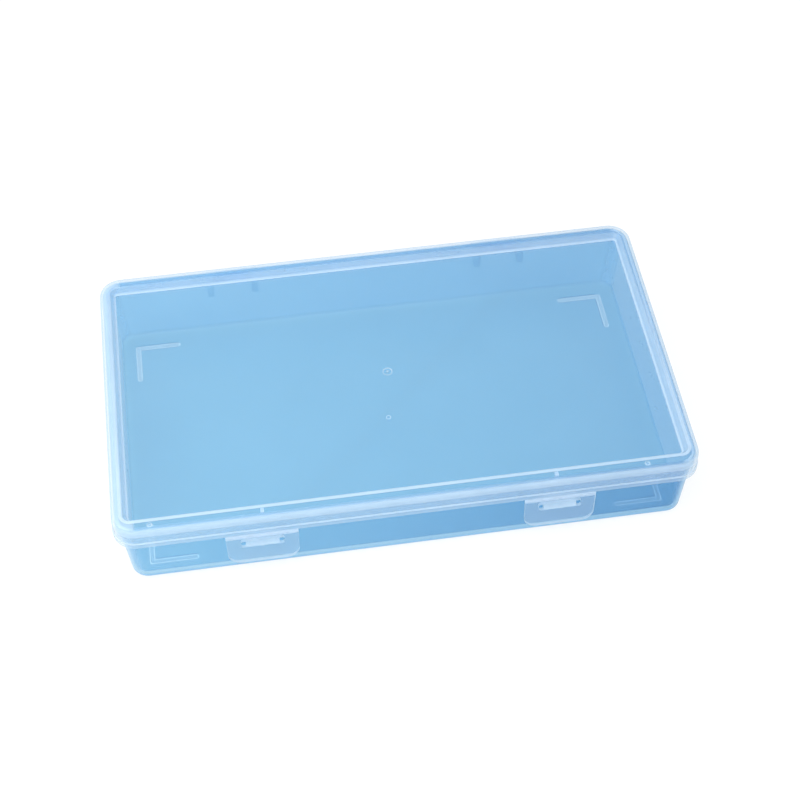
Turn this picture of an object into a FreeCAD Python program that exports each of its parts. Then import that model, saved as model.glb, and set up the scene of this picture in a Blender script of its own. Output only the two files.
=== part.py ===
import FreeCAD, Part
import math
import os

# A flat storage box: a see-through lid with two hanging latches over a tinted tray.
# X runs along the box, the latches are on the -Y side, the hinge is on the +Y side, +Z is up.
# Everything is built round the middle of the tray and then moved so that the origin lies
# at the bottom centre of the whole box. All sizes are in millimetres.

# Overall size of the lid, taken over its lip
lidLength = 199.2
lidWidth = 117.4
lidCornerRadius = 8.0

# Heights above the table
footHeight = 1.2
lidBottom = 21.6
lidTop = 30.4

# Lid shell
lidWall = 1.0
lipHeight = 2.4
lipProud = 0.25
shoulderRadius = 2.0
stepTopInset = 5.2
endStepShift = 1.2
stepRun = 1.7
stepDrop = 2.4
stepRound = 0.5
lidGateRadius = 1.6
lidGateDepth = 0.3
lidGateNubRadius = 0.5
pinMarkRadius = 0.8
pinMarkDepth = 0.15
leftPinMarkX = -86.8
rightPinMarkX = 80.6

# Tray
trayWall = 1.0
trayFloor = 1.2
trayCornerRadius = 6.0
endDraft = 4.6
longDraft = 1.4
bottomRound = 1.2
insideRound = 1.5
rimBead = 0.2
rimHeight = 5.5
rimRound = 0.7
rimSideClearance = 0.3
rimSeatGap = 0.2
trayGateRadius = 0.8
trayGateHeight = 0.3

# Stacking feet, four L shapes under the floor, measured to the middle of their bars
footInset = 6.9
footBar = 1.8
footArmX = 15.3
footArmY = 16.0
footOuterRound = 1.9
footTipRound = 0.8

# Latches and hinge stations, at the same distance from the middle
stationOffset = 50.6
latchWidth = 24.4
latchTaper = 0.2
latchThickness = 1.1
latchProud = 0.3
latchBottom = 6.6
latchCornerRadius = 4.6
latchEdgeRound = 0.25
webHeight = 1.2
webThickness = 0.45
webGap = 0.06
slotWidth = 14.6
slotHeight = 3.1
slotMiddle = 16.9
slotCornerRadius = 0.8

# Catches on the front wall of the tray
catchWidth = 11.3
catchClearance = 0.3
catchBelowLid = 0.5
toothHeight = 2.3
toothLand = 0.5
toothProud = 0.2
toothRibWidth = 0.9
toothRibProud = 0.2

# Lid ribs that hold the rim of the tray from inside
ribOffset = 49.6
ribThickness = 1.2
ribDepth = 2.2
ribClearance = 0.3

# Rear hinge
hingePinRadius = 1.2
hingeRunningFit = 0.08
hingeBarrelRadius = 2.4
hingeLipClearance = 0.5
earThickness = 2.5
earRoot = 4.5
clipWidth = 13.4
clipSideClearance = 0.3
clipMouthAngle = 100.0
clipArmThickness = 1.3
clipArmBelowLip = 0.4

# Hairline left where features of one moulding meet, so that each stays a solid of its own
mouldLine = 0.02

# Places worked out from the sizes above
halfLength = lidLength / 2
halfWidth = lidWidth / 2
skirtInset = lipProud
skirtInnerInset = skirtInset + lidWall
rimInset = skirtInnerInset + rimSideClearance
wallInset = rimInset + rimBead
rimInnerInset = wallInset + trayWall
stepBottomInset = stepTopInset + stepRun
stepAngle = math.atan2(stepDrop, stepRun)
stepSlope = stepRun / stepDrop
panelTop = lidTop - stepDrop
panelUnder = panelTop - lidWall
borderUnder = lidTop - lidWall
rimTop = borderUnder - rimSeatGap
underStepShift = lidWall / math.sin(stepAngle)
floorTop = footHeight + trayFloor
innerCornerRadius = trayCornerRadius - trayWall
latchOuterY = -(halfWidth + latchProud)
latchInnerY = latchOuterY + latchThickness
latchAxisY = -(halfWidth - lipProud)
latchAxisZ = lidBottom - webThickness / 2 - webGap
latchTop = latchAxisZ - webHeight
slotTop = slotMiddle + slotHeight / 2
slotBottom = slotMiddle - slotHeight / 2
toothBottom = slotBottom + catchClearance
catchFrontY = latchInnerY + catchClearance
toothTipY = latchOuterY - toothProud
hingeAxisY = halfWidth + hingeLipClearance + hingeBarrelRadius
hingeAxisZ = lidBottom
frontReach = -toothTipY + toothRibProud
rearReach = hingeAxisY + hingeBarrelRadius
toOrigin = FreeCAD.Vector(0, (frontReach - rearReach) / 2, 0)

tolerance = 0.01
overshoot = 1.0
smallestCorner = 0.6
upward = FreeCAD.Vector(0, 0, 1)


# Rounded rectangles and blocks


def outline(halfX, halfY, radius, z):
    reach = math.sqrt(0.5)
    middleX = halfX - radius
    middleY = halfY - radius
    edges = []
    for signX, signY in ((1, 1), (-1, 1), (-1, -1), (1, -1)):
        alongX = FreeCAD.Vector(signX * middleX, signY * halfY, z)
        bulge = FreeCAD.Vector(
            signX * (middleX + radius * reach), signY * (middleY + radius * reach), z
        )
        alongY = FreeCAD.Vector(signX * halfX, signY * middleY, z)
        if signX * signY > 0:
            edges.append((alongY, bulge, alongX))
        else:
            edges.append((alongX, bulge, alongY))
    parts = []
    for index, (start, bulge, end) in enumerate(edges):
        nextStart = edges[(index + 1) % len(edges)][0]
        parts.append(Part.Arc(start, bulge, end).toShape())
        parts.append(Part.LineSegment(end, nextStart).toShape())
    return Part.Wire(parts)


def lidOutline(inset, z, endShift=0):
    radius = max(lidCornerRadius - inset, smallestCorner)
    return outline(halfLength - inset + endShift, halfWidth - inset, radius, z)


def lidBlock(inset, low, high):
    face = Part.Face(lidOutline(inset, low))
    return face.extrude(upward * (high - low))


def loftBlock(lowWire, highWire):
    return Part.makeLoft([lowWire, highWire], True, True)


def distanceToOutline(point, halfX, halfY, radius):
    pastX = abs(point.x) - (halfX - radius)
    pastY = abs(point.y) - (halfY - radius)
    outside = math.hypot(max(pastX, 0), max(pastY, 0))
    inside = min(max(pastX, pastY), 0)
    return outside + inside - radius


def edgesOnOutline(shape, halfX, halfY, radius, z):
    found = []
    for edge in shape.Edges:
        middle = edge.valueAt((edge.FirstParameter + edge.LastParameter) / 2)
        points = [middle] + [vertex.Point for vertex in edge.Vertexes]
        level = all(abs(point.z - z) < tolerance for point in points)
        if level and abs(distanceToOutline(middle, halfX, halfY, radius)) < tolerance:
            found.append(edge)
    return found


def edgesOnLidOutline(shape, inset, z, endShift=0):
    radius = max(lidCornerRadius - inset, smallestCorner)
    return edgesOnOutline(shape, halfLength - inset + endShift, halfWidth - inset, radius, z)


def stepLoft(lowInset, low, highInset, high):
    # the sloping step lies nearer to the lid's edge at the two ends than along the sides
    lowWire = lidOutline(lowInset, low, endStepShift)
    highWire = lidOutline(highInset, high, endStepShift)
    block = loftBlock(lowWire, highWire)
    return block.makeFillet(stepRound, edgesOnLidOutline(block, lowInset, low, endStepShift))


def profileAlongX(points, middleX, width):
    # a closed outline of (y, z) points, drawn out along X about middleX
    corners = [FreeCAD.Vector(middleX - width / 2, y, z) for y, z in points]
    face = Part.Face(Part.makePolygon(corners + corners[:1]))
    return face.extrude(FreeCAD.Vector(width, 0, 0))


# Tray walls


def trayHalfSizes(z, inset):
    below = rimTop - z
    halfX = halfLength - wallInset - inset - below * math.tan(math.radians(endDraft))
    halfY = halfWidth - wallInset - inset - below * math.tan(math.radians(longDraft))
    return halfX, halfY


def trayOutline(z, inset):
    halfX, halfY = trayHalfSizes(z, inset)
    return outline(halfX, halfY, trayCornerRadius - inset, z)


def longWallY(z):
    return trayHalfSizes(z, 0)[1]


def makeTray():
    outside = loftBlock(trayOutline(footHeight, 0), trayOutline(rimTop - rimRound, 0))
    halfX, halfY = trayHalfSizes(footHeight, 0)
    bottomEdges = edgesOnOutline(outside, halfX, halfY, trayCornerRadius, footHeight)
    outside = outside.makeFillet(bottomRound, bottomEdges)

    inside = loftBlock(trayOutline(floorTop, trayWall), trayOutline(rimTop + overshoot, trayWall))
    halfX, halfY = trayHalfSizes(floorTop, trayWall)
    floorEdges = edgesOnOutline(inside, halfX, halfY, innerCornerRadius, floorTop)
    inside = inside.makeFillet(insideRound, floorEdges)

    bead = lidBlock(rimInset, rimTop - rimHeight, rimTop)
    beadEdges = edgesOnLidOutline(bead, rimInset, rimTop)
    beadEdges += edgesOnLidOutline(bead, rimInset, rimTop - rimHeight)
    bead = bead.makeFillet(rimRound, beadEdges)

    gate = Part.makeCylinder(
        trayGateRadius, trayGateHeight, FreeCAD.Vector(0, 0, footHeight - trayGateHeight)
    )
    return outside.fuse([bead, gate]).removeSplitter().cut(inside)


# Stacking feet


def makeFoot(signX, signY):
    halfX, halfY = trayHalfSizes(footHeight, 0)
    middleX = halfX - footInset
    middleY = halfY - footInset
    halfBar = footBar / 2
    height = footHeight - mouldLine
    alongX = Part.makeBox(
        footArmX + halfBar, footBar, height, FreeCAD.Vector(middleX - footArmX, middleY - halfBar, 0)
    )
    alongY = Part.makeBox(
        footBar, footArmY + halfBar, height, FreeCAD.Vector(middleX - halfBar, middleY - footArmY, 0)
    )
    foot = alongX.fuse(alongY).removeSplitter()
    corner = FreeCAD.Vector(middleX + halfBar, middleY + halfBar, 0)
    foot = foot.makeFillet(footOuterRound, uprightEdges(foot, corner.x, corner.y))
    tips = []
    for side in (-halfBar, halfBar):
        tips += uprightEdges(foot, middleX - footArmX, middleY + side)
        tips += uprightEdges(foot, middleX + side, middleY - footArmY)
    foot = foot.makeFillet(footTipRound, tips)
    if signX < 0:
        foot = foot.mirror(FreeCAD.Vector(0, 0, 0), FreeCAD.Vector(1, 0, 0))
    if signY < 0:
        foot = foot.mirror(FreeCAD.Vector(0, 0, 0), FreeCAD.Vector(0, 1, 0))
    return foot


def uprightEdges(shape, x, y):
    found = []
    for edge in shape.Edges:
        ends = [vertex.Point for vertex in edge.Vertexes]
        if len(ends) == 2 and all(math.hypot(end.x - x, end.y - y) < tolerance for end in ends):
            found.append(edge)
    return found


# Catches


def makeCatch(middleX):
    top = lidBottom - catchBelowLid
    slopeTop = toothBottom + toothHeight
    backTop = -longWallY(top) - mouldLine
    backBottom = -longWallY(toothBottom) - mouldLine
    block = profileAlongX(
        [
            (backTop, top),
            (catchFrontY, top),
            (catchFrontY, slopeTop),
            (toothTipY, toothBottom + toothLand),
            (toothTipY, toothBottom),
            (backBottom, toothBottom),
        ],
        middleX,
        catchWidth,
    )
    rib = profileAlongX(
        [
            (catchFrontY, slopeTop),
            (toothTipY - toothRibProud, toothBottom + toothLand),
            (toothTipY - toothRibProud, toothBottom),
            (catchFrontY, toothBottom),
        ],
        middleX,
        toothRibWidth,
    )
    return block.fuse(rib).removeSplitter()


# Lid


def makeLidShell():
    skirt = lidBlock(skirtInset, lidBottom, lidTop)
    skirt = skirt.makeFillet(shoulderRadius, edgesOnLidOutline(skirt, skirtInset, lidTop))
    lip = lidBlock(0, lidBottom, lidBottom + lipHeight)
    lipEdges = edgesOnLidOutline(lip, 0, lidBottom) + edgesOnLidOutline(lip, 0, lidBottom + lipHeight)
    lip = lip.makeFillet(lipProud, lipEdges)

    above = overshoot * stepSlope
    pocket = stepLoft(stepBottomInset, panelTop, stepTopInset - above, lidTop + overshoot)

    hollow = lidBlock(skirtInnerInset, lidBottom - overshoot, borderUnder)
    hollowEdges = edgesOnLidOutline(hollow, skirtInnerInset, borderUnder)
    hollow = hollow.makeFillet(shoulderRadius - lidWall, hollowEdges)
    islandTop = borderUnder + overshoot
    island = stepLoft(underStepInset(panelUnder), panelUnder, underStepInset(islandTop), islandTop)
    hollow = hollow.cut(island)

    shell = skirt.fuse(lip).cut(pocket)
    topEdges = edgesOnLidOutline(shell, stepTopInset, lidTop, endStepShift)
    shell = shell.makeFillet(stepRound, topEdges)
    shell = shell.cut(hollow)
    return addLidMarks(shell)


def underStepInset(z):
    # how far in from the lip the lower face of the sloping step lies at height z, along the sides
    return stepTopInset - underStepShift + (lidTop - z) * stepSlope


def addLidMarks(shell):
    # the gate's dimple with its nub in the middle of the panel,
    # and two ejector marks in the flat underside of the border, halfway between its roundings
    gateFloor = FreeCAD.Vector(0, 0, panelTop - lidGateDepth)
    dimple = Part.makeCylinder(lidGateRadius, lidGateDepth + overshoot, gateFloor)
    nub = Part.makeCylinder(lidGateNubRadius, lidGateDepth, gateFloor)
    cuts = [dimple.cut(nub)]
    hollowRound = shoulderRadius - lidWall
    markInset = (skirtInnerInset + hollowRound + underStepInset(borderUnder)) / 2
    for markX in (leftPinMarkX, rightPinMarkX):
        place = FreeCAD.Vector(markX, markInset - halfWidth, borderUnder + pinMarkDepth)
        cuts.append(Part.makeCylinder(pinMarkRadius, rimSeatGap + pinMarkDepth, place, -upward))
    return shell.cut(cuts)


def makeLidRib(middleX):
    top = borderUnder - mouldLine
    bottom = borderUnder - ribDepth
    outerY = -(halfWidth - rimInnerInset - ribClearance)
    return profileAlongX(
        [
            (outerY, top),
            (outerY, bottom),
            (underStepInset(bottom) - halfWidth - mouldLine, bottom),
            (underStepInset(top) - halfWidth - mouldLine, top),
        ],
        middleX,
        ribThickness,
    )


# Latches


def makeLatchFlap(middleX):
    halfTop = latchWidth / 2
    halfBottom = halfTop - latchTaper
    corners = [
        (-halfTop, latchTop),
        (-halfBottom, latchBottom),
        (halfBottom, latchBottom),
        (halfTop, latchTop),
    ]
    points = [FreeCAD.Vector(middleX + x, latchInnerY, z) for x, z in corners]
    plate = Part.Face(Part.makePolygon(points + points[:1]))
    plate = plate.extrude(FreeCAD.Vector(0, -latchThickness, 0))
    bottomCorners = crossEdges(plate, middleX - halfBottom, latchBottom)
    bottomCorners += crossEdges(plate, middleX + halfBottom, latchBottom)
    plate = plate.makeFillet(latchCornerRadius, bottomCorners)
    frontFace = min(plate.Faces, key=lambda face: face.CenterOfMass.y)
    plate = plate.makeFillet(latchEdgeRound, frontFace.Edges)
    slot = Part.makeBox(
        slotWidth,
        latchThickness + 2 * overshoot,
        slotHeight,
        FreeCAD.Vector(middleX - slotWidth / 2, latchOuterY - overshoot, slotBottom),
    )
    slotEdges = []
    for side in (-slotWidth / 2, slotWidth / 2):
        slotEdges += crossEdges(slot, middleX + side, slotBottom)
        slotEdges += crossEdges(slot, middleX + side, slotTop)
    return plate.cut(slot.makeFillet(slotCornerRadius, slotEdges))


def crossEdges(shape, x, z):
    found = []
    for edge in shape.Edges:
        ends = [vertex.Point for vertex in edge.Vertexes]
        if len(ends) == 2 and all(math.hypot(end.x - x, end.z - z) < tolerance for end in ends):
            found.append(edge)
    return found


def makeLatchWeb(middleX):
    # the thin strip that bends: a round edge under the lip, then a flat strip down to the flap
    strip = Part.makeBox(
        latchWidth,
        webThickness,
        webHeight - mouldLine,
        FreeCAD.Vector(middleX - latchWidth / 2, latchAxisY - webThickness / 2, latchTop + mouldLine),
    )
    roundEdge = Part.makeCylinder(
        webThickness / 2,
        latchWidth,
        FreeCAD.Vector(middleX - latchWidth / 2, latchAxisY, latchAxisZ),
        FreeCAD.Vector(1, 0, 0),
    )
    return strip.fuse(roundEdge).removeSplitter()


# Rear hinge


def makeHingeEars(middleX):
    top = lidBottom - catchBelowLid
    bottom = top - earRoot
    ears = []
    for side in (-1, 1):
        earMiddle = middleX + side * (clipWidth / 2 + clipSideClearance + earThickness / 2)
        bracket = profileAlongX(
            [
                (longWallY(top) + mouldLine, top),
                (longWallY(bottom) + mouldLine, bottom),
                (hingeAxisY, hingeAxisZ - hingeBarrelRadius),
                (hingeAxisY, top),
            ],
            earMiddle,
            earThickness,
        )
        lug = barrel(earMiddle, earThickness, hingeBarrelRadius)
        ears.append(bracket.fuse(lug).removeSplitter())
    return Part.makeCompound(ears)


def barrel(middleX, width, radius):
    start = FreeCAD.Vector(middleX - width / 2, hingeAxisY, hingeAxisZ)
    return Part.makeCylinder(radius, width, start, FreeCAD.Vector(1, 0, 0))


def makeHingePin(middleX):
    length = clipWidth + 2 * clipSideClearance - 2 * mouldLine
    return barrel(middleX, length, hingePinRadius)


def makeHingeClip(middleX):
    ring = barrel(middleX, clipWidth, hingeBarrelRadius)
    armBottom = lidBottom + lipHeight - clipArmBelowLip - clipArmThickness
    arm = Part.makeBox(
        clipWidth,
        hingeAxisY - halfWidth - mouldLine,
        clipArmThickness,
        FreeCAD.Vector(middleX - clipWidth / 2, halfWidth + mouldLine, armBottom),
    )
    bore = barrel(middleX, clipWidth + 2 * overshoot, hingePinRadius + hingeRunningFit)
    reach = hingeBarrelRadius + overshoot
    halfMouth = math.radians(clipMouthAngle / 2)
    mouth = profileAlongX(
        [
            (hingeAxisY, hingeAxisZ),
            (hingeAxisY - reach * math.tan(halfMouth), hingeAxisZ - reach),
            (hingeAxisY + reach * math.tan(halfMouth), hingeAxisZ - reach),
        ],
        middleX,
        clipWidth + 2 * overshoot,
    )
    return ring.fuse(arm).removeSplitter().cut([bore, mouth])


# All nodes of the box

nodes = {"base_tray": makeTray(), "lid_shell": makeLidShell()}
for sideName, sideX in (("left", -1), ("right", 1)):
    station = sideX * stationOffset
    nodes[f"{sideName}_catch"] = makeCatch(station)
    nodes[f"{sideName}_lid_rib"] = makeLidRib(sideX * ribOffset)
    nodes[f"{sideName}_latch_flap"] = makeLatchFlap(station)
    nodes[f"{sideName}_latch_web"] = makeLatchWeb(station)
    nodes[f"{sideName}_hinge_ears"] = makeHingeEars(station)
    nodes[f"{sideName}_hinge_pin"] = makeHingePin(station)
    nodes[f"{sideName}_hinge_clip"] = makeHingeClip(station)
    for endName, sideY in (("front", -1), ("rear", 1)):
        nodes[f"{endName}_{sideName}_foot"] = makeFoot(sideX, sideY)

os.makedirs("parts", exist_ok=True)
for name, shape in nodes.items():
    placed = shape.translated(toOrigin)
    placed.exportStep(os.path.join("parts", name + ".step"))
    print(name, "solids", len(placed.Solids), "valid", placed.isValid(), "volume", round(placed.Volume, 1))
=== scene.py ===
import bpy
import math
from mathutils import Matrix, Vector


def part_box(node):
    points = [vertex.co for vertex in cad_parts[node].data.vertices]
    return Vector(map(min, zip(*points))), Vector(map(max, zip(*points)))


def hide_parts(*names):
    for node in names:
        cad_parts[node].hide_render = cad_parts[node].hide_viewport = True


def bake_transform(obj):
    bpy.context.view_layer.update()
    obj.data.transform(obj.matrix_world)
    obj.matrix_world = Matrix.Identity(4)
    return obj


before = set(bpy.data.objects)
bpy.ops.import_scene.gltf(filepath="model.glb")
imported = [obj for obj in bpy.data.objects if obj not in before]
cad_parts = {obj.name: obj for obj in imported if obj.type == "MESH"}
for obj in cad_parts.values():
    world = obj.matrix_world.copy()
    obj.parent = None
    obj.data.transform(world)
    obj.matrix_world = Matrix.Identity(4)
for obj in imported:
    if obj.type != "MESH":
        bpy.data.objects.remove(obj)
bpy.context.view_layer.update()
lidLow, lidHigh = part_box("lid_shell")
trayLow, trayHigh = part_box("base_tray")
mm = 0.001
sides = ("left", "right")
print("frame loaded")

# What both mouldings share: places that the lines in the plastic follow
mould = {
    "middleY": (lidLow.y + lidHigh.y) / 2,
    "halfLength": (lidHigh.x - lidLow.x) / 2,
    "halfWidth": (lidHigh.y - lidLow.y) / 2,
    "cornerRadius": 8 * mm,
}


# Small helpers for building materials from nodes


def newTree(name):
    material = bpy.data.materials.new(name)
    material.use_nodes = True
    tree = material.node_tree
    tree.nodes.clear()
    return material, tree


def node(tree, kind, inputs=None, **settings):
    made = tree.nodes.new(kind)
    for key, value in settings.items():
        setattr(made, key, value)
    for key, value in (inputs or {}).items():
        plug(tree, made.inputs[key], value)
    return made


def plug(tree, socket, value):
    if isinstance(value, bpy.types.NodeSocket):
        tree.links.new(value, socket)
    elif isinstance(value, tuple) and socket.type == "RGBA":
        socket.default_value = (*value, 1.0)
    else:
        socket.default_value = value


def maths(tree, operation, *values):
    made = node(tree, "ShaderNodeMath", operation=operation)
    for socket, value in zip(made.inputs, values):
        plug(tree, socket, value)
    return made.outputs[0]


def minus(tree, first, second):
    return maths(tree, "SUBTRACT", first, second)


def opposite(tree, share):
    return minus(tree, 1.0, share)


def withoutSign(tree, value):
    return maths(tree, "ABSOLUTE", value)


def times(tree, first, *others):
    for other in others:
        first = maths(tree, "MULTIPLY", first, other)
    return first


def largest(tree, first, *others):
    for other in others:
        first = maths(tree, "MAXIMUM", first, other)
    return first


def towardsOne(tree, share, *others):
    # each of the others raises the share by part of what it still lacks
    for more in others:
        share = maths(tree, "ADD", share, times(tree, opposite(tree, share), more))
    return share


def hypotenuse(tree, first, second):
    return maths(tree, "SQRT", maths(tree, "ADD", times(tree, first, first), times(tree, second, second)))


def mixColours(tree, share, first, second):
    mixed = node(tree, "ShaderNodeMix", data_type="RGBA")
    plug(tree, mixed.inputs[0], share)
    plug(tree, mixed.inputs[6], first)  # the node's two colours are its sockets 6 and 7
    plug(tree, mixed.inputs[7], second)
    return mixed.outputs[2]


def parts(tree, vector):
    return node(tree, "ShaderNodeSeparateXYZ", {0: vector}).outputs


def objectPosition(tree):
    return node(tree, "ShaderNodeTexCoord").outputs["Object"]


def objectFacing(tree):
    # the way the surface faces, always turned towards whoever looks
    return parts(tree, node(tree, "ShaderNodeTexCoord").outputs["Normal"])


def outerSide(tree):
    # 1 on faces met from outside the plastic, 0 on those met from within it
    return opposite(tree, node(tree, "ShaderNodeNewGeometry").outputs["Backfacing"])


# Soft steps, lines and outlines


def ramp(tree, value, low, high, span=(0.0, 1.0), smooth=True):
    made = node(
        tree,
        "ShaderNodeMapRange",
        {"Value": value, "From Min": span[0], "From Max": span[1], "To Min": low, "To Max": high},
        interpolation_type="SMOOTHSTEP" if smooth else "LINEAR",
    )
    return made.outputs["Result"]


def above(tree, value, span):
    # 0 below the span, 1 above it
    return ramp(tree, value, 0.0, 1.0, span)


def below(tree, value, span):
    # 1 below the span, 0 above it
    return ramp(tree, value, 1.0, 0.0, span)


def between(tree, value, low, high, soft):
    # 1 from low to high, falling to 0 over the soft width on either side
    return times(tree, above(tree, value, (low - soft, low)), below(tree, value, (high, high + soft)))


def lineAt(tree, distance, halfWidth):
    # 1 where the distance is 0, falling to 0 at halfWidth
    return below(tree, withoutSign(tree, distance), (0.0, halfWidth))


def ringAt(tree, place, middleX, middleY, radius, halfWidth):
    # a line round an upright axis, or a dot when the radius is 0
    awayX = minus(tree, place["X"], middleX)
    awayY = minus(tree, place["Y"], middleY)
    return lineAt(tree, minus(tree, hypotenuse(tree, awayX, awayY), radius), halfWidth)


def beyondOutline(tree, place, halfX, halfY, radius):
    # how far outside a rounded rectangle about the lid's middle a point lies, negative within
    fromMiddle = minus(tree, place["Y"], mould["middleY"])
    pastX = minus(tree, withoutSign(tree, place["X"]), halfX - radius)
    pastY = minus(tree, withoutSign(tree, fromMiddle), halfY - radius)
    reach = hypotenuse(tree, largest(tree, pastX, 0.0), largest(tree, pastY, 0.0))
    inside = maths(tree, "MINIMUM", largest(tree, pastX, pastY), 0.0)
    return minus(tree, maths(tree, "ADD", reach, inside), radius)


# What all the plastic has in common
plastic = {
    "ior": 1.49,
    "throughShare": 0.45,
    "grazingBlend": 0.5,
    "grazingPower": 3.0,
    "cloudDetail": 3.0,
    "cloudSpan": (0.3, 0.7),
    "rippleScale": 90.0,
    "rippleDetail": 2.0,
    "rippleStrength": 0.02,
    "rippleDepth": 0.4 * mm,
    "wornScale": 240.0,
    "wornLow": 0.8,
    "wornHigh": 1.25,
}


def noiseIn(tree, position, scale, **detail):
    return node(tree, "ShaderNodeTexNoise", {"Vector": position, "Scale": scale, **detail}).outputs[0]


def grazing(tree, strength):
    # plastic seen nearly edge-on looks milkier, since more of it lies in the way
    edge = node(tree, "ShaderNodeLayerWeight", {"Blend": plastic["grazingBlend"]})
    return times(tree, maths(tree, "POWER", edge.outputs["Facing"], plastic["grazingPower"]), strength)


def cloudiness(tree, position, scale, amount):
    # uneven flow in the plastic, as a factor about 1
    noise = noiseIn(tree, position, scale, Detail=plastic["cloudDetail"])
    return ramp(tree, noise, 1.0 - amount, 1.0 + amount, plastic["cloudSpan"], smooth=False)


def ripple(tree, position):
    noise = noiseIn(tree, position, plastic["rippleScale"], Detail=plastic["rippleDetail"])
    bump = node(
        tree,
        "ShaderNodeBump",
        {"Height": noise, "Strength": plastic["rippleStrength"], "Distance": plastic["rippleDepth"]},
    )
    return bump.outputs["Normal"]


def wornRoughness(tree, position, roughness):
    noise = noiseIn(tree, position, plastic["wornScale"])
    return ramp(tree, noise, roughness * plastic["wornLow"], roughness * plastic["wornHigh"])


def finishPlastic(tree, look, haze, milk, position, tint=None, paintedGlow=None):
    # a share of milky body over clear tinted plastic, under a soft gloss
    normal = ripple(tree, position)
    seenThrough = mixColours(tree, grazing(tree, 1.0), tint or look["tint"], look["edgeTint"])
    clear = node(tree, "ShaderNodeBsdfTransparent", {"Color": seenThrough})
    front = node(tree, "ShaderNodeBsdfDiffuse", {"Color": milk, "Normal": normal})
    through = node(tree, "ShaderNodeBsdfTranslucent", {"Color": milk, "Normal": normal})
    passed = plastic["throughShare"]
    scatter = node(tree, "ShaderNodeMixShader", {0: passed, 1: front.outputs[0], 2: through.outputs[0]})
    body = node(tree, "ShaderNodeMixShader", {0: haze, 1: clear.outputs[0], 2: scatter.outputs[0]})
    worn = wornRoughness(tree, position, look["roughness"])
    shine = node(tree, "ShaderNodeBsdfGlossy", {"Roughness": worn, "Normal": normal})
    mirror = node(tree, "ShaderNodeFresnel", {"IOR": plastic["ior"], "Normal": normal})
    share = times(tree, mirror.outputs[0], outerSide(tree), look["shine"])
    surface = node(tree, "ShaderNodeMixShader", {0: share, 1: body.outputs[0], 2: shine.outputs[0]})
    # an optional painted glow: emission from plastic that is no lamp
    if paintedGlow:
        light = node(tree, "ShaderNodeEmission", {"Color": paintedGlow, "Strength": 1.0})
        surface = node(tree, "ShaderNodeAddShader", {0: surface.outputs[0], 1: light.outputs[0]})
    node(tree, "ShaderNodeOutputMaterial", {"Surface": surface.outputs[0]})


# Clear lid
lidLook = {
    "tint": (0.975, 0.988, 0.995),
    "edgeTint": (0.58, 0.82, 0.95),
    "milk": (0.78, 0.90, 0.99),
    "flatHaze": 0.012,
    "wallHaze": 0.21,
    "flatFacing": (0.75, 0.99),
    "grazingHaze": 0.50,
    "clouds": (45.0, 0.10),
    "shine": 1.0,
    "roughness": 0.16,
    # skirt: heights above its lower edge, and insets from the lid's outline
    "outerFace": (0.5 * mm, 0.9 * mm),
    "lipHeight": 2.4 * mm,
    "lipSoft": 0.3 * mm,
    "lipHaze": 0.14,
    "lipEdgeHighlight": 0.80,
    "lipEdgeBelow": 0.1 * mm,
    "lipEdgeWidth": 0.48 * mm,
    "bandHeight": (5.3 * mm, 5.9 * mm),
    "bandInset": (1.8 * mm, 2.6 * mm),
    "bandFacing": (0.55, 0.90),
    "bandHaze": 0.42,
    # sloping step between the sunken panel and the border
    "stepInsetSides": 6.9 * mm,
    "stepInsetEnds": 5.7 * mm,
    "stepRun": 1.7 * mm,
    "stepDrop": 2.4 * mm,
    "stepSoft": 0.5 * mm,
    "stepHaze": 0.10,
    "stepLineHighlight": 0.70,
    "stepLinePast": 0.1 * mm,
    "stepLineWidth": 0.60 * mm,
    "panelSkin": (0.6 * mm, 0.35 * mm),
    # border, with a painted highlight on the crest where the step turns into it, and painted light on its
    # left end
    "borderWall": 1.0 * mm,
    "borderSkin": (0.4 * mm, 0.2 * mm),
    "crestLow": 1.85 * mm,
    "crestHigh": 2.7 * mm,
    "crestSoft": 0.3 * mm,
    "crestFront": 0.70,
    "crestRear": 0.15,
    "crestFade": 12 * mm,
    "leftBorder": 7.0 * mm,
    "leftBorderSoft": (0.0, 1.5 * mm),
    "leftBorderPaintedLight": 0.42,
    # marks that the mould left: the gate's ring with its nub, and two ejector pins
    "gateRadius": 1.6 * mm,
    "gateWidth": 0.35 * mm,
    "gateLine": 0.50,
    "nubRadius": 0.7 * mm,
    "pinRadius": 0.8 * mm,
    "pinWidth": 0.30 * mm,
    "pinLine": 0.60,
    "pinInset": 3.47 * mm,
    "pinPlaces": (-86.8 * mm, 80.6 * mm),
    "pinBelow": 0.2 * mm,
    "pinAbove": 0.4 * mm,
    "pinSoft": 0.1 * mm,
}


def skirtHaze(tree, place, upward):
    # a lip with a painted highlight along its edge, then a band up over the shoulder that is partly milkier
    # thick plastic and partly a painted highlight
    look = lidLook
    height = minus(tree, place["Z"], lidLow.z)
    beyond = beyondOutline(tree, place, mould["halfLength"], mould["halfWidth"], mould["cornerRadius"])
    inset = times(tree, beyond, -1.0)
    outerFace = below(tree, inset, look["outerFace"])
    onLip = below(tree, height, (look["lipHeight"], look["lipHeight"] + look["lipSoft"]))
    lip = times(tree, outerFace, onLip, look["lipHaze"])
    fromEdge = minus(tree, height, look["lipHeight"] - look["lipEdgeBelow"])
    lipEdgeHighlight = times(tree, outerFace, lineAt(tree, fromEdge, look["lipEdgeWidth"]), look["lipEdgeHighlight"])
    band = times(
        tree,
        below(tree, inset, look["bandInset"]),
        below(tree, upward, look["bandFacing"]),
        above(tree, height, look["bandHeight"]),
        look["bandHaze"],
    )
    return lip, lipEdgeHighlight, band


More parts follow.
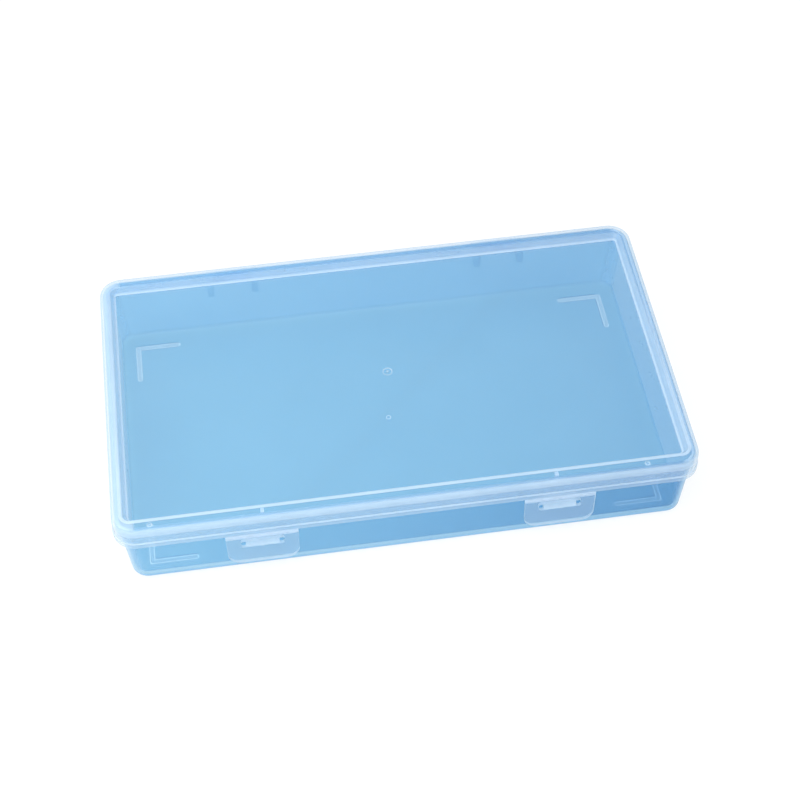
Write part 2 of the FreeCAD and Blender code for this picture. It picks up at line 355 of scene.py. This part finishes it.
def borderPaintedLight(tree, place, pastStep):
    # painted highlight where the step's wall turns into the border, brightest at the front, and painted
    # light on the border's left end
    look = lidLook
    atTop = above(tree, place["Z"], [lidHigh.z - depth for depth in look["borderSkin"]])
    rearwards = above(tree, place["Y"], (lidLow.y + look["crestFade"], lidHigh.y - look["crestFade"]))
    crestHighlight = times(
        tree,
        between(tree, pastStep, look["crestLow"], look["crestHigh"], look["crestSoft"]),
        atTop,
        ramp(tree, rearwards, look["crestFront"], look["crestRear"], smooth=False),
    )
    fromEnd = minus(tree, place["X"], lidLow.x + look["leftBorder"])
    litLeftEnd = times(tree, below(tree, fromEnd, look["leftBorderSoft"]), atTop, look["leftBorderPaintedLight"])
    return crestHighlight, litLeftEnd


def stepHaze(tree, pastStep, aboveUnderside):
    # the slope down to the panel, and a painted highlight as a crisp line where it ends
    look = lidLook
    slope = times(
        tree,
        above(tree, pastStep, (-look["stepSoft"], 0.0)),
        below(tree, pastStep, (look["stepRun"], look["stepRun"] + look["stepSoft"])),
        look["stepHaze"],
    )
    fromLine = minus(tree, pastStep, look["stepLinePast"])
    line = times(tree, lineAt(tree, fromLine, look["stepLineWidth"]), aboveUnderside, look["stepLineHighlight"])
    return slope, line


def lidMarks(tree, place):
    # the gate's ring and nub on the panel, and two ejector marks in the border's underside
    look = lidLook
    gate = ringAt(tree, place, 0.0, mould["middleY"], look["gateRadius"], look["gateWidth"])
    nub = ringAt(tree, place, 0.0, mould["middleY"], 0.0, look["nubRadius"])
    marks = times(tree, largest(tree, gate, nub), look["gateLine"])
    under = lidHigh.z - look["borderWall"]
    atBorder = between(
        tree, place["Z"], under - look["pinBelow"], under + look["pinAbove"], look["pinSoft"]
    )
    for pinX in look["pinPlaces"]:
        pin = ringAt(tree, place, pinX, lidLow.y + look["pinInset"], look["pinRadius"], look["pinWidth"])
        marks = largest(tree, marks, times(tree, pin, atBorder, look["pinLine"]))
    return marks


def lidPlastic():
    look = lidLook
    material, tree = newTree("clearLidPlastic")
    position = objectPosition(tree)
    place = parts(tree, position)
    upward = withoutSign(tree, objectFacing(tree)["Z"])
    pastStep = beyondOutline(
        tree,
        place,
        mould["halfLength"] - look["stepInsetEnds"],
        mould["halfWidth"] - look["stepInsetSides"],
        mould["cornerRadius"] - look["stepInsetSides"],
    )
    panelTop = lidHigh.z - look["stepDrop"]
    aboveUnderside = above(tree, place["Z"], [panelTop - depth for depth in look["panelSkin"]])
    crestHighlight, litLeftEnd = borderPaintedLight(tree, place, pastStep)
    slope, line = stepHaze(tree, pastStep, aboveUnderside)
    haze = ramp(tree, upward, look["wallHaze"], look["flatHaze"], look["flatFacing"])
    haze = towardsOne(tree, haze, *skirtHaze(tree, place, upward))
    haze = towardsOne(tree, haze, litLeftEnd, slope, largest(tree, line, crestHighlight))
    haze = towardsOne(tree, haze, times(tree, lidMarks(tree, place), aboveUnderside))
    haze = times(tree, haze, cloudiness(tree, position, *look["clouds"]))
    haze = towardsOne(tree, haze, grazing(tree, look["grazingHaze"]))
    finishPlastic(tree, look, haze, look["milk"], position)
    return material


# Small clear pieces of the lid's moulding: latches, hinge clips, ribs and bending strips
latchLook = {
    "milk": (0.80, 0.91, 1.0),
    "haze": 0.09,
    "edge": 0.55,
    "flatFacing": (0.6, 0.97),
    "clouds": (120.0, 0.15),
    "rib": 0.80,
    "ribClouds": (150.0, 0.12),
    "strip": 0.78,
    "stripClouds": (420.0, 0.18),
    "stripStreaks": (1.0, 1.0, 6.0),
}


def latchPlastic():
    material, tree = newTree("clearLatchPlastic")
    position = objectPosition(tree)
    outward = withoutSign(tree, objectFacing(tree)["Y"])
    # faces turned away from the front carry a painted highlight along the edges of the flap and clip
    haze = ramp(tree, outward, latchLook["edge"], latchLook["haze"], latchLook["flatFacing"])
    haze = times(tree, haze, cloudiness(tree, position, *latchLook["clouds"]))
    haze = towardsOne(tree, haze, grazing(tree, lidLook["grazingHaze"]))
    finishPlastic(tree, lidLook, haze, latchLook["milk"], position)
    return material


def ribPlastic():
    material, tree = newTree("clearRibPlastic")
    position = objectPosition(tree)
    haze = times(tree, cloudiness(tree, position, *latchLook["ribClouds"]), latchLook["rib"])
    finishPlastic(tree, lidLook, haze, latchLook["milk"], position)
    return material


def hingeStripPlastic():
    # bent plastic turns white, in fine streaks
    material, tree = newTree("whitenedHingePlastic")
    position = objectPosition(tree)
    streak = node(tree, "ShaderNodeMapping", {"Vector": position, "Scale": latchLook["stripStreaks"]})
    haze = times(tree, cloudiness(tree, streak.outputs[0], *latchLook["stripClouds"]), latchLook["strip"])
    finishPlastic(tree, lidLook, haze, latchLook["milk"], position)
    return material


# L-shaped feet, as pale outlines in the floor's underside, which give off a painted glow
footLook = {
    "armX": 14.9 * mm,
    "armY": 15.4 * mm,
    "halfBar": 0.9 * mm,
    "forward": 0.75 * mm,
    "lineInset": 0.15 * mm,
    "lineWidth": 0.36 * mm,
    "fillFront": 0.30,
    "fillRear": 0.55,
    "fillEdge": (-0.2 * mm, 0.1 * mm),
    "underside": (0.4 * mm, 0.7 * mm),
    "clearHaze": 0.04,
    "clearTint": (0.97, 0.985, 0.995),
    "paintedGlowFront": (0.58, 0.38, 0.30),
    "paintedGlowRear": (0.31, 0.20, 0.15),
    "changeOver": 1 * mm,
}
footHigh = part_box("rear_right_foot")[1]
footLook["middleX"] = footHigh.x - footLook["halfBar"]
footLook["middleY"] = footHigh.y - footLook["halfBar"] - mould["middleY"]
footLook["lineMiddle"] = mould["middleY"] - footLook["forward"]


def barDistance(tree, along, across, length):
    # distance from a line that runs back from the foot's corner
    fromHalfway = withoutSign(tree, maths(tree, "ADD", along, length / 2))
    past = minus(tree, fromHalfway, length / 2)
    return hypotenuse(tree, largest(tree, past, 0.0), across)


def footDistance(tree, place):
    # how far outside the nearest L-shaped foot's outline a point lies, negative within
    fromMiddle = minus(tree, place["Y"], footLook["lineMiddle"])
    awayX = minus(tree, withoutSign(tree, place["X"]), footLook["middleX"])
    awayY = minus(tree, withoutSign(tree, fromMiddle), footLook["middleY"])
    toArmX = barDistance(tree, awayX, awayY, footLook["armX"])
    toArmY = barDistance(tree, awayY, awayX, footLook["armY"])
    return minus(tree, maths(tree, "MINIMUM", toArmX, toArmY), footLook["halfBar"])


def footShare(tree, place, height, rearwards):
    # an outline with a lighter filling, fainter at the front
    look = footLook
    fromEdge = footDistance(tree, place)
    line = lineAt(tree, maths(tree, "ADD", fromEdge, look["lineInset"]), look["lineWidth"])
    filling = ramp(tree, rearwards, look["fillFront"], look["fillRear"], smooth=False)
    fill = times(tree, below(tree, fromEdge, look["fillEdge"]), filling)
    return times(tree, largest(tree, line, fill), below(tree, height, look["underside"]))


# Light blue tray: its walls look milkier from within it than from outside, with painted shade making them
# darker and bluer there, and painted light making its left end paler than its right
trayLook = {
    "litTintLeft": (0.645, 0.865, 0.985),
    "shadedTintRight": (0.57, 0.795, 0.94),
    "litOuterTintLeft": (0.93, 1.0, 1.0),
    "shadedOuterTintRight": (0.68, 0.82, 0.92),
    "edgeTint": (0.84, 0.94, 0.985),
    "haze": 0.22,
    "hazeOuter": 0.11,
    "litMilkLeft": (0.50, 0.72, 1.0),
    "shadedMilkRight": (0.26, 0.48, 0.70),
    "shadedMilkInner": (0.02, 0.41, 0.76),
    "milkFloor": (0.17, 0.48, 0.66),
    "frontWall": (2.5 * mm, 5.0 * mm),
    "turnSoft": (-1 * mm, 1 * mm),
    "floorFacing": (0.8, 0.97),
    "foldShade": 0.93,
    "foldLow": 0.35,
    "foldHigh": 0.85,
    "foldSoft": 0.12,
    "baseShadeTint": (0.62, 0.80, 0.94),
    "baseHeight": (1.96 * mm, 2.8 * mm),
    "baseFacing": (0.90, 0.98),
    "grazingHaze": 0.40,
    "clouds": (30.0, 0.06),
    "shine": 0.5,
    "roughness": 0.30,
    # painted highlights on the rim, the bottom edge and the upright corners, and the gate's real mark
    "highlightAndMarkMilk": (0.72, 0.87, 0.98),
    "highlightAndMarkGain": 2.5,
    "rimDepth": 0.5 * mm,
    "rimSides": 0.20,
    "rimEnds": 0.70,
    "rimEndsInset": (6 * mm, 3 * mm),
    "bottomEdge": 0.35,
    "bottomHeight": (0.4 * mm, 0.8 * mm),
    "bottomFacing": (0.6, 0.95),
    "corner": 0.12,
    "cornerTurn": (0.1, 0.45),
    "gateRadius": 0.8 * mm,
    "gateWidth": 0.35 * mm,
    "gateHeight": (2.0 * mm, 2.5 * mm),
    "gateLine": 0.60,
}


def seenFromWithin(tree, place, facing):
    # 1 on walls looked at from within the tray, 0 from outside it and all over the front wall; it places the
    # painted shade of the inner walls
    fromMiddle = minus(tree, place["Y"], mould["middleY"])
    outwardX = times(tree, facing["X"], place["X"])
    outwardY = times(tree, facing["Y"], fromMiddle)
    outside = above(tree, maths(tree, "ADD", outwardX, outwardY), trayLook["turnSoft"])
    pastFront = minus(tree, place["Y"], trayLow.y)
    return times(tree, above(tree, pastFront, trayLook["frontWall"]), opposite(tree, outside))


def highlightsAndGateShare(tree, place, facing, height, upward):
    # painted highlights on the rim, the bottom edge and the upright corners, with the gate's real mark
    look = trayLook
    towardsEnds = [trayHigh.x - inset for inset in look["rimEndsInset"]]
    fromMiddle = withoutSign(tree, place["X"])
    rim = times(
        tree,
        above(tree, place["Z"], (trayHigh.z - look["rimDepth"], trayHigh.z)),
        ramp(tree, fromMiddle, look["rimSides"], look["rimEnds"], towardsEnds),
    )
    bottom = times(
        tree,
        below(tree, height, look["bottomHeight"]),
        below(tree, upward, look["bottomFacing"]),
        outerSide(tree),
        look["bottomEdge"],
    )
    turned = withoutSign(tree, times(tree, facing["X"], facing["Y"]))
    corner = times(tree, above(tree, turned, look["cornerTurn"]), look["corner"])
    gate = times(
        tree,
        ringAt(tree, place, 0.0, mould["middleY"], look["gateRadius"], look["gateWidth"]),
        below(tree, height, look["gateHeight"]),
        look["gateLine"],
    )
    return largest(tree, rim, bottom, corner, gate)


def trayMilk(tree, rightwards, within, floor, highlightsAndGate):
    look = trayLook
    # painted light and shade: paler milk at the left end than at the right, darker blue milk on walls seen
    # from within, then the painted highlights and the gate's mark
    milk = mixColours(tree, rightwards, look["litMilkLeft"], look["shadedMilkRight"])
    milk = mixColours(tree, within, milk, look["shadedMilkInner"])
    milk = mixColours(tree, floor, milk, look["milkFloor"])
    milk = mixColours(tree, grazing(tree, 1.0), milk, look["highlightAndMarkMilk"])
    share = maths(tree, "MINIMUM", times(tree, highlightsAndGate, look["highlightAndMarkGain"]), 1.0)
    return mixColours(tree, share, milk, look["highlightAndMarkMilk"])


def trayTint(tree, rightwards, within, outerWall, height, upward):
    # painted shade: darker in the inner folds, and in the outer fold round the base; painted light: clearer
    # at the left end than at the right
    look = trayLook
    tint = mixColours(tree, rightwards, look["litTintLeft"], look["shadedTintRight"])
    outerTint = mixColours(tree, rightwards, look["litOuterTintLeft"], look["shadedOuterTintRight"])
    tint = mixColours(tree, outerWall, tint, outerTint)
    folded = between(tree, upward, look["foldLow"], look["foldHigh"], look["foldSoft"])
    fold = times(tree, folded, within, outerSide(tree))
    darker = node(tree, "ShaderNodeVectorMath", {0: tint, "Scale": look["foldShade"]}, operation="SCALE")
    tint = mixColours(tree, fold, tint, darker.outputs[0])
    base = times(
        tree,
        below(tree, height, look["baseHeight"]),
        opposite(tree, within),
        below(tree, upward, look["baseFacing"]),
    )
    return mixColours(tree, base, tint, look["baseShadeTint"])


def trayPlastic():
    look = trayLook
    material, tree = newTree("blueTrayPlastic")
    position = objectPosition(tree)
    place = parts(tree, position)
    facing = objectFacing(tree)
    height = minus(tree, place["Z"], trayLow.z)
    upward = withoutSign(tree, facing["Z"])
    rightwards = ramp(tree, place["X"], 0.0, 1.0, (trayLow.x, trayHigh.x), smooth=False)
    halfway = (mould["middleY"] - footLook["changeOver"], mould["middleY"] + footLook["changeOver"])
    rearwards = above(tree, place["Y"], halfway)
    within = seenFromWithin(tree, place, facing)
    floor = above(tree, upward, look["floorFacing"])
    outerWall = times(tree, opposite(tree, within), opposite(tree, floor))
    highlightsAndGate = highlightsAndGateShare(tree, place, facing, height, upward)
    body = ramp(tree, outerWall, look["haze"], look["hazeOuter"], smooth=False)
    haze = times(tree, cloudiness(tree, position, *look["clouds"]), body)
    haze = towardsOne(tree, haze, highlightsAndGate, grazing(tree, look["grazingHaze"]))
    milk = trayMilk(tree, rightwards, within, floor, highlightsAndGate)
    tint = trayTint(tree, rightwards, within, outerWall, height, upward)

    # over the feet the floor's underside is clearer, so their outlines show through it as pale lines; the
    # outlines also give off a painted glow, brighter at the front
    foot = footShare(tree, place, height, rearwards)
    lessHaze = minus(tree, haze, footLook["clearHaze"])
    haze = minus(tree, haze, times(tree, foot, lessHaze))
    tint = mixColours(tree, foot, tint, footLook["clearTint"])
    paintedGlow = mixColours(tree, rearwards, footLook["paintedGlowFront"], footLook["paintedGlowRear"])
    paintedGlow = mixColours(tree, foot, (0.0, 0.0, 0.0), paintedGlow)
    finishPlastic(tree, look, haze, milk, position, tint, paintedGlow)
    return material


# Small features of the tray: they are of one moulding with it, so they add little colour of their own
featureLook = {
    "tint": (0.95, 0.98, 0.995),
    "edgeTint": (0.80, 0.90, 0.97),
    "milk": (0.50, 0.74, 0.95),
    "footHaze": 0.10,
    "hingeHaze": 0.06,
    "levelShare": 0.4,
    "levelFacing": (0.3, 0.9),
    "catchMilk": (0.80, 0.92, 1.0),
    "catchFront": 0.22,
    "catchEdgeHighlight": 0.65,
    "catchFacing": (0.85, 0.98),
    "clouds": (150.0, 0.12),
    "shine": 1.0,
    "roughness": 0.24,
}


def featurePlastic(name, amount):
    look = featureLook
    material, tree = newTree(name)
    position = objectPosition(tree)
    upward = withoutSign(tree, objectFacing(tree)["Z"])
    upright = ramp(tree, upward, 1.0, look["levelShare"], look["levelFacing"])
    haze = times(tree, cloudiness(tree, position, *look["clouds"]), upright, amount)
    haze = towardsOne(tree, haze, grazing(tree, amount))
    finishPlastic(tree, look, haze, look["milk"], position)
    return material


def catchPlastic():
    # a clear block behind the latch, whose edges, sides and tooth carry a painted highlight
    look = featureLook
    material, tree = newTree("blueCatchPlastic")
    position = objectPosition(tree)
    forward = withoutSign(tree, objectFacing(tree)["Y"])
    haze = ramp(tree, forward, look["catchEdgeHighlight"], look["catchFront"], look["catchFacing"])
    haze = times(tree, cloudiness(tree, position, *look["clouds"]), haze)
    finishPlastic(tree, look, haze, look["catchMilk"], position)
    return material


def assign(names, material):
    for name in names:
        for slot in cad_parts[name].material_slots:
            slot.material = material


assign(["lid_shell"], lidPlastic())
assign([f"{side}_lid_rib" for side in sides], ribPlastic())
assign([f"{side}_{part}" for side in sides for part in ("hinge_clip", "latch_flap")], latchPlastic())
assign(["base_tray"], trayPlastic())
feet = [f"{end}_{side}_foot" for end in ("front", "rear") for side in sides]
assign(feet, featurePlastic("blueFootPlastic", featureLook["footHaze"]))
assign([f"{side}_catch" for side in sides], catchPlastic())
hingeParts = [f"{side}_{part}" for side in sides for part in ("hinge_ears", "hinge_pin")]
assign(hingeParts, featurePlastic("blueHingePlastic", featureLook["hingeHaze"]))
print("materials assigned to the moulded parts")


# Latch hinges: a thin strip that bends between the lid and the flap
stripShape = {
    "rings": 8,
    "pinch": 0.7,
    "smoothUnder": 40.0,
}


def cutRings(middle, bottom, tall):
    # level cuts all the way up
    for ring in range(1, stripShape["rings"]):
        height = bottom + tall * ring / stripShape["rings"]
        bpy.ops.mesh.select_all(action="SELECT")
        bpy.ops.mesh.bisect(plane_co=(middle.x, middle.y, height), plane_no=(0, 0, 1))
        bpy.ops.mesh.select_mode(type="VERT")
    bpy.ops.mesh.select_all(action="SELECT")
    bpy.ops.mesh.normals_make_consistent(inside=False)


def makeHingeStrip(side, material):
    low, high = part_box(f"{side}_latch_web")
    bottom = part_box(f"{side}_latch_flap")[1].z
    top = lidLow.z
    tall = top - bottom
    middle = (low + high) / 2
    bpy.ops.object.select_all(action="DESELECT")
    bpy.ops.mesh.primitive_cube_add(size=1.0)
    strip = bpy.context.active_object
    strip.name = f"{side}_hinge_strip"
    strip.scale = (high.x - low.x, high.y - low.y, tall)
    strip.location = (middle.x, middle.y, (top + bottom) / 2)
    bpy.ops.object.transform_apply(location=True, rotation=True, scale=True)
    bpy.ops.object.mode_set(mode="EDIT")
    cutRings(middle, bottom, tall)
    bpy.ops.object.mode_set(mode="OBJECT")
    for point in strip.data.vertices:
        # thinnest halfway up, where the plastic folds
        raised = (point.co.z - bottom) / tall
        waist = 1.0 - (1.0 - stripShape["pinch"]) * math.sin(math.pi * raised)
        point.co.y = middle.y + (point.co.y - middle.y) * waist
    bpy.ops.object.shade_smooth_by_angle(angle=math.radians(stripShape["smoothUnder"]))
    strip.data.materials.append(material)
    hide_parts(f"{side}_latch_web")
    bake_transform(strip)


hingeMaterial = hingeStripPlastic()
for side in sides:
    makeHingeStrip(side, hingeMaterial)
print("latch hinge strips made")


# Studio: pale floor, soft lamp from the left, white surroundings
studio = {
    "floorHalf": 3.0,
    "floorBelow": 0.05 * mm,
    "floorColour": (0.86, 0.87, 0.88),
    "floorSeen": (0.22, 0.22, 0.22),
    "floorLift": 0.80,
    "worldColour": (0.97, 0.985, 1.0),
    "worldLight": 0.80,
    "keyPlace": (-0.20, -0.12, 0.46),
    "keySize": 0.80,
    "keyPower": 2.6,
    "clearWalls": 32,
}


def watched(tree):
    # 1 where the floor or the surroundings are looked at, 0 where they only give light
    seen = node(tree, "ShaderNodeLightPath").outputs
    return largest(tree, seen["Is Camera Ray"], seen["Is Glossy Ray"], seen["Is Transmission Ray"])


def makeFloor():
    bpy.ops.object.select_all(action="DESELECT")
    bpy.ops.mesh.primitive_plane_add(size=2 * studio["floorHalf"], location=(0, 0, -studio["floorBelow"]))
    floor = bpy.context.active_object
    floor.name = "floor"
    material, tree = newTree("paleFloor")
    matt = node(tree, "ShaderNodeBsdfDiffuse", {"Color": studio["floorColour"]})
    shade = node(tree, "ShaderNodeBsdfDiffuse", {"Color": studio["floorSeen"]})
    lift = node(tree, "ShaderNodeEmission", {"Strength": studio["floorLift"]})
    bright = node(tree, "ShaderNodeAddShader", {0: shade.outputs[0], 1: lift.outputs[0]})
    surface = node(tree, "ShaderNodeMixShader", {0: watched(tree), 1: matt.outputs[0], 2: bright.outputs[0]})
    node(tree, "ShaderNodeOutputMaterial", {"Surface": surface.outputs[0]})
    floor.data.materials.append(material)


def makeWorld():
    world = bpy.data.worlds.new("softWhite")
    bpy.context.scene.world = world
    world.use_nodes = True
    tree = world.node_tree
    tree.nodes.clear()
    light = {"Color": studio["worldColour"], "Strength": studio["worldLight"]}
    soft = node(tree, "ShaderNodeBackground", light)
    white = node(tree, "ShaderNodeBackground", {"Color": (1.0, 1.0, 1.0), "Strength": 1.0})
    both = node(tree, "ShaderNodeMixShader", {0: watched(tree), 1: soft.outputs[0], 2: white.outputs[0]})
    node(tree, "ShaderNodeOutputWorld", {"Surface": both.outputs[0]})


def makeKeyLamp():
    data = bpy.data.lights.new("keyLamp", "AREA")
    data.shape = "DISK"
    data.size = studio["keySize"]
    data.energy = studio["keyPower"]
    lamp = bpy.data.objects.new("keyLamp", data)
    bpy.context.scene.collection.objects.link(lamp)
    lamp.location = studio["keyPlace"]
    lamp.rotation_mode = "QUATERNION"
    lamp.rotation_quaternion = (-Vector(studio["keyPlace"])).to_track_quat("-Z", "Y")


# Where the photograph was taken from: angles in degrees, lens in millimetres
cameraView = {
    "place": (-49.8 * mm, -403.6 * mm, 494.0 * mm),
    "elevation": 50.0,
    "azimuth": 7.68,
    "roll": 0.88,
    "lens": 78.55,
    "clipStart": 10 * mm,
}


def makeCamera():
    elevation = math.radians(cameraView["elevation"])
    azimuth = math.radians(cameraView["azimuth"])
    roll = math.radians(cameraView["roll"])
    flat = math.cos(elevation)
    ahead = Vector((math.sin(azimuth) * flat, math.cos(azimuth) * flat, -math.sin(elevation)))
    level = ahead.cross(Vector((0, 0, 1))).normalized()
    down = ahead.cross(level)
    right = math.cos(roll) * level + math.sin(roll) * down
    up = math.sin(roll) * level - math.cos(roll) * down
    data = bpy.data.cameras.new("camera")
    data.lens = cameraView["lens"]
    data.clip_start = cameraView["clipStart"]
    camera = bpy.data.objects.new("camera", data)
    bpy.context.scene.collection.objects.link(camera)
    turn = Matrix((right, up, -ahead)).transposed().to_4x4()
    camera.matrix_world = Matrix.Translation(cameraView["place"]) @ turn
    bpy.context.scene.camera = camera


makeFloor()
makeWorld()
makeKeyLamp()
makeCamera()
bpy.context.scene.view_settings.view_transform = "Standard"
bpy.context.scene.cycles.transparent_max_bounces = studio["clearWalls"]  # they lie behind each other
print("studio ready")
